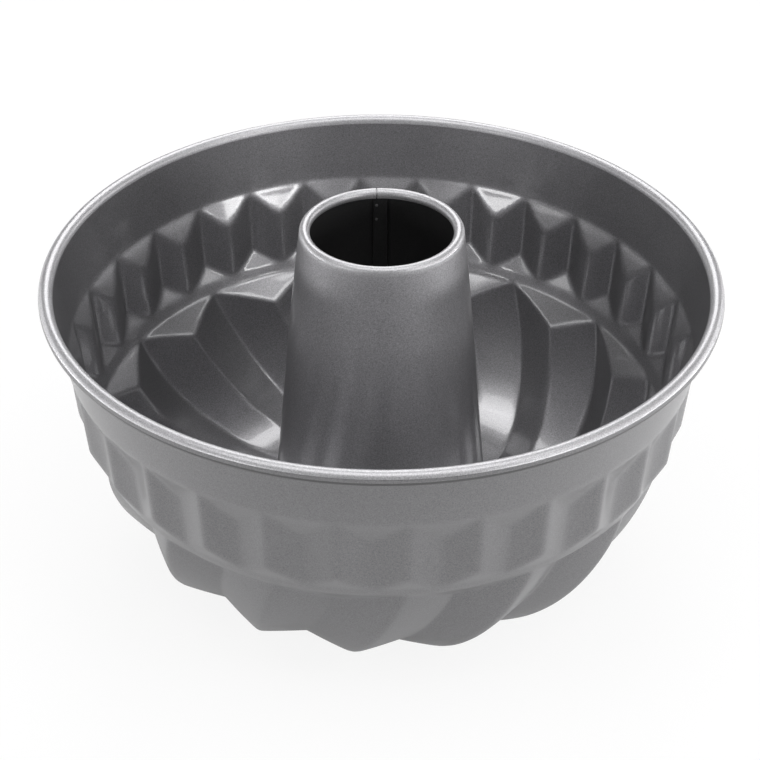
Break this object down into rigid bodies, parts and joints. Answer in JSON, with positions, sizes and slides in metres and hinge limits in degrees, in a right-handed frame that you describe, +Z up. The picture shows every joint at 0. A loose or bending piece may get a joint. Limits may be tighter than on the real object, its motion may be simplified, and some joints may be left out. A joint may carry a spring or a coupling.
{
  "type": "fluted tube pan",
  "caption": "Round fluted cake mould: pressed steel bowl with prism band, twisted flutes and rolled rim, and a conical steel tube locked into its middle.",
  "frame": {"origin": "centre of the pan's footprint, on the plane of the table it stands on", "axes": "+Z up along the pan's axis; the tube's lapped seam is at the back, on +Y; -Y faces the camera"},
  "size_m": [0.22, 0.22, 0.1215],
  "materials": {
    "coated_sheet": "satin metallic non-stick coat",
    "coated_tube": "satin metallic non-stick coat"
  },
  "bodies": {
    "root": {"fluted_bowl": "coated_sheet", "centre_tube": "coated_tube"}
  },
  "joints": []
}
